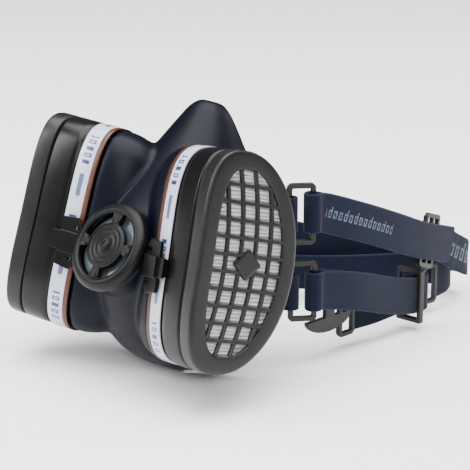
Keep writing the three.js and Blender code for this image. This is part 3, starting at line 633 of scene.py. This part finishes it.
# ---------------------------------------------------------------- filters
def filter_cover(side, tag, m):
    profile = rounded([(0.7, -9), (0, -8.3), (0, -1.5), (0.35, -0.5), (1.5, 0), (GRILLE_INSET - 0.5, 0),
                       (GRILLE_INSET, -0.5), (GRILLE_INSET, -2.2), (2, -2.2), (2, -9)], 0.7, 3)
    rim = kidney_ring("cover_rim", side, profile, m)
    pieces = [rim]
    rows = int(FILTER_HEIGHT // GRILLE_PITCH)
    for i in range(rows):
        v = (i - (rows - 1) / 2) * GRILLE_PITCH
        reach = half_width(v, GRILLE_INSET - 0.6)
        if reach > 1.5:
            pieces.append(bar_along(side, [(bend(v) - reach, v), (bend(v) + reach, v)], m))
    for k in range(-3, 3):
        offset = (k + 0.5) * GRILLE_PITCH
        points = []
        for i in range(61):
            v = -46 + i / 60 * 92
            if abs(offset) < half_width(v, GRILLE_INSET - 0.6):
                points.append((bend(v) + offset, v))
        if len(points) > 3:
            pieces.append(bar_along(side, points, m))
    half = RHOMBUS_HALF
    centre = side * bend(0)
    outline = rounded([(half, 0), (0, half), (-half, 0), (0, -half)], 0.7, 3)
    rings = [[(centre + x * s, y * s, z) for x, y in outline]
             for z, s in ((-2.1, 1), (-0.15, 1), (0.1, 0.985), (0.22, 0.95), (0.22, 0.8), (0.1, 0.78))]
    verts, faces = swept(rings)
    pieces.append(make("rhombus", verts, faces, m))
    return dress(joined(f"filter_cover_{tag}_fine", pieces), "cover", f"filter_{tag}",
                 [f"filter_cover_{tag}"])


def bar_along(side, points, m):
    """A rounded grille bar along points in the plane of the filter's face."""
    half = GRILLE_BAR / 2
    z0, z1, r = -2.0, -0.15, 0.28
    section = [(-half, z0), (-half, z1 - r), (-half + r, z1), (half - r, z1), (half, z1 - r), (half, z0)]
    rings = []
    for i, (u, v) in enumerate(points):
        a = Vector(points[max(i - 1, 0)])
        b = Vector(points[min(i + 1, len(points) - 1)])
        t = (b - a).normalized()
        rings.append([(side * (u - t.y * x), v + t.x * x, z) for x, z in section])
    verts, faces = swept(rings)
    return make("bar", verts, faces, m)


def filter_case(side, tag, m):
    """Side wall with the groove under the cover, a grey step and a recess for the label."""
    wall = rounded([(0.9, BAND_BOTTOM), (0.9, -25.0), (0.75, -24.6), (0.25, -23.7), (0.0, -21.6),
                    (0.0, -10.6), (0.8, -9.35), (2.9, -9.35),
                    (2.9, -34.6), (13.8, -34.6), (13.8, -42.5), (12, -42.5), (12, BAND_BOTTOM)], 0.35, 2)
    shell = kidney_ring("case_wall", side, wall, m)
    node = f"filter_case_{tag}"
    case = joined(node + "_fine", [shell, latch_lug(side, m)])
    dress(case, "case", f"filter_{tag}", [node])


def latch_edge(side):
    return side * (bend(LATCH_V) - half_width(LATCH_V, 0))


def latch_lug(side, m):
    x = latch_edge(side)
    at = (x - side * (LUG_LENGTH / 2 - LUG_PROUD), LATCH_V, LATCH_PIVOT)
    return box_piece("lug", (LUG_LENGTH, LUG_HEIGHT, LUG_THICK), at, m)


def pleats(side, tag, m):
    """Pleated pack: fine folds across the filter right under the grille, on a deeper block."""
    pitch, top, low, floor = 1.93, -2.45, -4.4, -8.6
    columns, per_fold = 36, 6
    folds = int(94 / pitch)
    rings = []
    for i in range(folds * per_fold + 1):
        v = (i / per_fold - folds / 2) * pitch
        fold = abs(2 * ((i / per_fold) % 1) - 1)
        z = low + (top - low) * (1 - (1 - fold) ** 1.6)
        reach = max(half_width(v, 2.8), 0.4)
        upper = []
        for k in range(columns + 1):
            a = 2 * k / columns - 1
            wave = 0.10 * math.sin(5.1 * a + 0.7 * v) + 0.07 * math.sin(13 * a + 2.3 * v)
            sway = 0.16 * math.sin(4.3 * a + 0.9 * v)
            upper.append((side * (bend(v) + reach * a), v + sway, z - abs(wave)))
        lower = [(x, y, floor) for x, y, _ in reversed(upper)]
        rings.append(upper + lower)
    verts, faces = swept(rings)
    pack = make(f"pleated_media_{tag}_fine", verts, faces, m)
    soften(pack, 80)
    return dress(pack, "media", f"filter_{tag}", [f"pleated_media_{tag}"])


def filter_bands(side, tag, m):
    label = kidney_ring(f"label_band_{tag}_fine", side, rounded(
        [(0.55, -34.4), (0.0, -34.4), (0.0, -25.8), (0.55, -25.8)], 0.12, 2), m, uv=True)
    dress(label, "label", f"filter_{tag}", [f"label_band_{tag}"])
    colour = kidney_ring(f"colour_band_{tag}_fine", side, rounded(
        [(0.55, -37), (0.0, -37), (0.0, -34.75), (0.55, -34.75)], 0.15, 2), m)
    dress(colour, "orange", f"filter_{tag}", [f"colour_band_{tag}"])
    gasket = kidney_ring(f"gasket_{tag}_fine", side, rounded(
        [(6, -38.95), (6, -37.35), (10.5, -37.35), (10.5, -38.95)], 0.6, 4), m)
    dress(gasket, "rubber", f"filter_{tag}", [f"gasket_{tag}"])


def inhale_side(side, tag, m):
    port = refined(f"inhale_port_{tag}", 0.25, 2)
    dress(port, "valve")
    cx = side * bend(0)
    z = PORT_BOTTOM - 0.35
    flap = lathe(f"inhale_flap_{tag}_fine", [(1.9, z - 1.0), (6, z - 1.05), (11.6, z - 0.8), (12.5, z - 0.45),
                 (12.2, z - 0.05), (6, z - 0.1), (1.9, z)], m, 72, (cx, 0))
    dress(flap, "silicone", f"inhale_flap_{tag}", [f"inhale_flap_{tag}"])


# ---------------------------------------------------------------- exhalation valve
def arc_window(name, r0, r1, a0, a1, z0, z1, matrix):
    steps = 24
    corners = [(r1, a0 + (a1 - a0) * i / steps) for i in range(steps + 1)]
    corners += [(r0, a1 - (a1 - a0) * i / steps) for i in range(steps + 1)]
    ring = rounded([(r * math.cos(a), r * math.sin(a)) for r, a in corners], 0.8, 2)
    verts, faces = swept([[(x, y, z) for x, y in ring] for z in (z0, z1)])
    return make(name, verts, faces, matrix)


def valve_cover():
    outer = [(0, 8.5), (1.9, 8.5), (2.2, 8.2), (2.3, 7.75), (3.7, 7.7), (3.9, 8.0), (4.9, 8.0),
             (5.1, 7.65), (6.4, 7.6), (6.6, 7.95), (7.5, 7.95), (7.7, 7.6), (8.7, 7.55),
             (8.9, 7.9), (9.9, 7.85), (10.1, 7.5), (16.5, 7.4), (16.9, 7.8), (17.5, 8.0),
             (18.4, 7.9), (19.4, 7.5), (20.5, 6.8), (21.2, 5.9), (21.45, 4.9),
             (21.45, 3.3),
             (20.7, 2.7), (18.9, 2.65), (18.8, 4.0), (18.4, 5.0), (16.8, 5.7), (0, 5.7)]
    cover = lathe("valve_cover", outer, VALVE, 144)
    windows = [arc_window("window", 11.0, 16.3, math.radians(11 + 90 * i), math.radians(79 + 90 * i),
                          4, 12, VALVE) for i in range(4)]
    cut(cover, windows)
    trims = []
    for i in range(4):
        turn = math.radians(90 * i)
        trims.append(bevelled(box_piece("rib", (5.0, 2.4, 0.5), (13.4, 0, 7.42), VALVE, turn), 0.15, 2))
    obj = joined("exhale_valve_cover_fine", [cover, *trims])
    dress(obj, "valve", "valve_cover", ["exhale_valve_cover"])


def valve_inside():
    seat = refined("exhale_valve_seat", 0.25, 2)
    dress(seat, "valve")
    profile = [(1.85, 2.6), (5, 2.56), (15.4, 2.58), (16.15, 2.8), (16.0, 3.25), (14, 3.65),
               (11, 3.5), (8, 3.35), (6.5, 3.6), (5, 3.35), (1.85, 3.7)]
    flap = lathe("exhale_valve_flap_fine", profile, VALVE, 96)
    dress(flap, "silicone", "exhale_flap", ["exhale_valve_flap"])


# ---------------------------------------------------------------- facepiece
def spline(values, t):
    """Catmull-Rom through rows of values at parameter t from 0 to 1."""
    n = len(values) - 1
    x = min(max(t, 0), 1) * n
    i = min(int(x), n - 1)
    f = x - i
    p = [np.array(values[min(max(i + k, 0), n)], float) for k in (-1, 0, 1, 2)]
    return 0.5 * ((2 * p[1]) + (p[2] - p[0]) * f + (2 * p[0] - 5 * p[1] + 4 * p[2] - p[3]) * f ** 2
                  + (3 * p[1] - p[0] - 3 * p[2] + p[3]) * f ** 3)


def face_ring(section, grow, open_back, steps=72):
    z, half, front, seal = section
    w = max(half + grow, 0.8)
    depth = max(seal - front + grow, 0.8)
    ring = []
    for i in range(steps + 1):
        t = i / steps * math.pi
        x = w * signed_power(math.cos(t), 2 / FACE_POWER)
        y = seal - depth * abs(math.sin(t)) ** (2 / FACE_POWER)
        ring.append((x, y, z))
    behind = 30 if open_back else 0.5
    ring += [(-w, seal + behind, z), (0, seal + behind, z), (w, seal + behind, z)]
    return ring


def face_loft(name, grow, open_back, steps=80):
    rings = []
    for i in range(steps + 1):
        row = spline(FACE_SECTIONS, i / steps)
        lift = -grow if i == 0 else grow if i == steps else 0
        rings.append(face_ring((row[0] + lift, *row[1:]), grow, open_back))
    verts, faces = swept(rings)
    return make(name, verts, faces, MASK)


def disc_tool(name, radius, z0, z1, matrix, steps=96):
    rings = [[(radius * math.cos(a), radius * math.sin(a), z) for a in
              (i / steps * 2 * math.pi for i in range(steps))] for z in (z0, z1)]
    verts, faces = swept(rings)
    return make(name, verts, faces, matrix)


LUGS = {"upper": ((6, 9, 14), (37.7, 18.5, 26)), "lower": ((4, 9, 14), (41.7, 26, -8))}


def facepiece():
    """Outer skin blended by a voxel remesh, then the cavity, pockets, ports and bore are cut."""
    adds = [face_loft("outer", 0, False)]
    for side in (1, -1):
        m = filter_matrix(side)
        adds.append(kidney_loft("collar", side, [
            (-62, 12), (-59, 9), (-56, 6.2), (-53, 4.2), (-50, 2.8), (-47, 1.8), (-44, 1.1), (-41.7, 0.7),
            (GASKET_TOP, 0.6)], m, 120))
        for size, at in LUGS.values():
            adds.append(box_piece("lug", size, (side * at[0], at[1], at[2]), MASK))
    adds.append(disc_tool("boss", VALVE_FLANGE, -9, 0.6, VALVE))
    skin = joined("skin", adds)
    remeshed(skin, 0.9, 20, 0.5)
    cavity = face_loft("cavity", -SHELL_WALL, True)
    wall_line = -POCKET_GAP - SHELL_WALL
    walls = [kidney_loft("pocket_wall", side, [(GASKET_TOP - SHELL_WALL, wall_line), (20, wall_line)],
                         filter_matrix(side)) for side in (1, -1)]
    cut(cavity, walls)
    tools = [cavity]
    for side in (1, -1):
        m = filter_matrix(side)
        tools.append(kidney_loft("core", side, [
            (-66, 19), (-62, 15.5), (-58, 12), (-55, 9.6), (-52, 7.6), (-49, 6.8), (-46, 6.5), (-43, 6.5)],
            m, 120))
        tools.append(kidney_loft("port", side, [(PORT_TOP - 2.75, 4.05), (0, 4.05)], m))
        tools.append(kidney_loft("cup", side, [(-44, 8.2), (-40, 8.2)], m))
        tools.append(kidney_loft("pocket", side, [(GASKET_TOP, -POCKET_GAP), (20, -POCKET_GAP)], m))
    tools.append(disc_tool("bore", VALVE_BORE + 0.35, -16, 4, VALVE))
    tools.append(disc_tool("flange_seat", VALVE_FLANGE + 0.35, 0.6, 14, VALVE))
    cut(skin, tools)
    remeshed(skin, 0.62, 3, 0.5)
    skin.name = "facepiece_fine"
    soften(skin, 60)
    dress(skin, "rubber", "facepiece_body", ["facepiece"])


# ---------------------------------------------------------------- harness
def ring_loop(level, side, z):
    x, y, _ = RING_AT[level]
    radius = LOOP_RADIUS
    return [(side * (x - RING_REACH * math.sin(RING_TURN) + radius * math.cos(math.radians(d))),
             y + RING_REACH * math.cos(RING_TURN) + radius * math.sin(math.radians(d)), z)
            for d in (35, -5, -45, -85, -125, -165, -200)]


ROUTES = {
    "upper_strap_left": [
        (50, 158, -23), (55.5, 126, -13), (57.5, 98, -2), (56.5, 72, 8), *ring_loop("upper", 1, 15.6),
        (49, 70, 8.5), (51.5, 98, -2), (49.6, 126, -13), (44.4, 157, -23)],
    "upper_strap_right": [
        (-41, 116, -24), (-50.5, 92, -10), (-56, 70, 3), *ring_loop("upper", -1, 14.6),
        (-48.8, 68, 4), (-43.8, 90, -10), (-34.7, 112.6, -24)],
    "head_band": [
        (-33.1, 116.4, -25.8), (-26, 131, -30), (-2, 164, -36), (13, 186, -40), (27, 197, -41.5),
        (38, 189, -39), (42.2, 172, -31), (43.9, 160, -24.5)],
    "lower_strap_left": [
        (42, 90, -45.5), (44.2, 104, -45), (46, 125, -43.5), (48.6, 135.5, -43), (51.6, 136, -43),
        (53.4, 125, -42.5), (55.6, 102, -37), (58, 74, -28), *ring_loop("lower", 1, -22),
        (51.2, 72, -28.4), (50.6, 92, -34)],
    "lower_strap_right": [
        (-51, 86, -33), (-57, 68, -26.5), *ring_loop("lower", -1, -22), (-48.2, 70, -28),
        (-43, 92, -36.5), (-32, 114, -44.5), (-19, 131, -46.6), (6, 160, -46.6), (17, 179, -46.6),
        (27, 187, -46.6), (33.6, 178, -46.6), (36.6, 163, -46.6)],
}


def centripetal(points, spacing=1.0):
    """Evenly spaced points on a centripetal Catmull-Rom curve."""
    p = [np.array(q, float) for q in points]
    p = [2 * p[0] - p[1], *p, 2 * p[-1] - p[-2]]
    dense = []
    for i in range(1, len(p) - 2):
        a, b, c, d = p[i - 1:i + 3]
        t0 = 0.0
        t1 = t0 + np.linalg.norm(b - a) ** 0.5
        t2 = t1 + np.linalg.norm(c - b) ** 0.5
        t3 = t2 + np.linalg.norm(d - c) ** 0.5
        for t in np.linspace(t1, t2, 40, endpoint=False):
            q1 = (t1 - t) / (t1 - t0) * a + (t - t0) / (t1 - t0) * b
            q2 = (t2 - t) / (t2 - t1) * b + (t - t1) / (t2 - t1) * c
            q3 = (t3 - t) / (t3 - t2) * c + (t - t2) / (t3 - t2) * d
            r1 = (t2 - t) / (t2 - t0) * q1 + (t - t0) / (t2 - t0) * q2
            r2 = (t3 - t) / (t3 - t1) * q2 + (t - t1) / (t3 - t1) * q3
            dense.append((t2 - t) / (t2 - t1) * r1 + (t - t1) / (t2 - t1) * r2)
    dense.append(p[-2])
    dense = np.array(dense)
    run = np.concatenate([[0], np.cumsum(np.linalg.norm(np.diff(dense, axis=0), axis=1))])
    count = max(int(run[-1] / spacing), 8)
    at = np.linspace(0, run[-1], count + 1)
    return np.column_stack([np.interp(at, run, dense[:, k]) for k in range(3)]), at


def strap(name, material="webbing"):
    points, at = centripetal(ROUTES[name])
    ribs, columns = 9, 36
    half_w, half_t = STRAP_WIDTH / 2, STRAP_THICK / 2
    rings, uvs = [], []
    for i, point in enumerate(points):
        along = Vector(points[min(i + 1, len(points) - 1)] - points[max(i - 1, 0)]).normalized()
        up = (Vector((0, 0, 1)) - along * along.z).normalized()
        out = along.cross(up)
        ring = []
        for face in (1, -1):
            for j in range(columns + 1):
                a = (1 - 2 * j / columns) * face
                edge = min(1.0, (1 - abs(a)) * 10)
                thick = half_t * (0.35 + 0.65 * math.sqrt(edge))
                thick -= 0.10 * (0.5 - 0.5 * math.cos(a * ribs * 2 * math.pi)) * edge
                across = a * half_w
                ring.append(tuple(Vector(point) + up * across + out * thick * face))
                uvs.append((at[i], across))
        rings.append(ring)
    verts, faces = swept(rings)
    obj = make(name + "_fine", verts, faces, None, uvs)
    soften(obj, 70)
    return dress(obj, material, "facepiece_body", [name])


# ---------------------------------------------------------------- build
for side, tag in ((1, "left"), (-1, "right")):
    place = filter_matrix(side)
    filter_cover(side, tag, place)
    filter_case(side, tag, place)
    pleats(side, tag, place)
    filter_bands(side, tag, place)
    inhale_side(side, tag, place)
    for node, material in ((f"carbon_bed_{tag}", "carbon"), (f"carbon_screen_{tag}", "case")):
        dress(frame["nodes"][node], material)
    dress(refined(f"filter_latch_{tag}", 0.35, 3), "case")
    for level in ("upper", "lower"):
        dress(refined(f"{level}_ring_{tag}", 0.5, 3), "buckle")
        dress(refined(f"{level}_tab_{tag}", 0.4, 3), "tab")
valve_cover()
valve_inside()
facepiece()
strap("upper_strap_left", "printed")
strap("head_band", "printed_band")
for name in ("upper_strap_right", "lower_strap_left", "lower_strap_right"):
    strap(name)
for node in ("upper_slider_left", "upper_slider_right", "lower_slider_left",
             "neck_clasp_hook", "neck_clasp_loop"):
    dress(refined(node, 0.5, 3), "buckle")


# ---------------------------------------------------------------- stage, light and camera
def stage():
    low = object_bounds()[0]
    bpy.ops.mesh.primitive_plane_add(size=6, location=(0, 0, low[2] - 0.0005))
    floor = bpy.context.object
    floor.name = "floor"
    s = Shader("pale_floor")
    colour = s.ramp(s.noise(s.coords(), 3, 3), [(0.3, (0.93, 0.93, 0.93)), (0.8, (0.95, 0.95, 0.95))])
    s.set(Roughness=0.7)
    floor.data.materials.append(s.finish(colour))
    floor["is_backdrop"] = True


def area_light(name, at, target, size, power):
    data = bpy.data.lights.new(name, "AREA")
    data.shape = "RECTANGLE"
    data.size, data.size_y = size
    data.energy = power
    obj = bpy.data.objects.new(name, data)
    obj.location = at
    obj.rotation_euler = (Vector(target) - Vector(at)).to_track_quat("-Z", "Y").to_euler()
    bpy.context.scene.collection.objects.link(obj)


def light():
    world = bpy.data.worlds.new("studio")
    bpy.context.scene.world = world
    world.use_nodes = True
    world.node_tree.nodes["Background"].inputs["Color"].default_value = (1, 1, 1, 1)
    world.node_tree.nodes["Background"].inputs["Strength"].default_value = 0.12
    middle = (0.0, 0.04, 0.0)
    area_light("top", (0.15, -0.1, 2.0), middle, (2.6, 2.6), 200)
    area_light("left_softbox", (-0.75, -0.95, 0.7), middle, (0.25, 0.8), 16)
    area_light("front", (0.65, -1.1, 0.75), middle, (0.5, 0.5), 10)
    area_light("back", (0.5, 1.2, 0.8), middle, (0.9, 0.4), 6)


def camera():
    data = bpy.data.cameras.new("photo_camera")
    data.lens = 131.2
    data.sensor_width = 36
    obj = bpy.data.objects.new("photo_camera", data)
    obj.location = (0.565026, -0.543040, 0.221307)
    target = Vector((0.0318, 0.01373, 0.00758))
    obj.rotation_euler = (target - obj.location).to_track_quat("-Z", "Y").to_euler()
    bpy.context.scene.collection.objects.link(obj)
    bpy.context.scene.camera = obj


stage()
light()
camera()
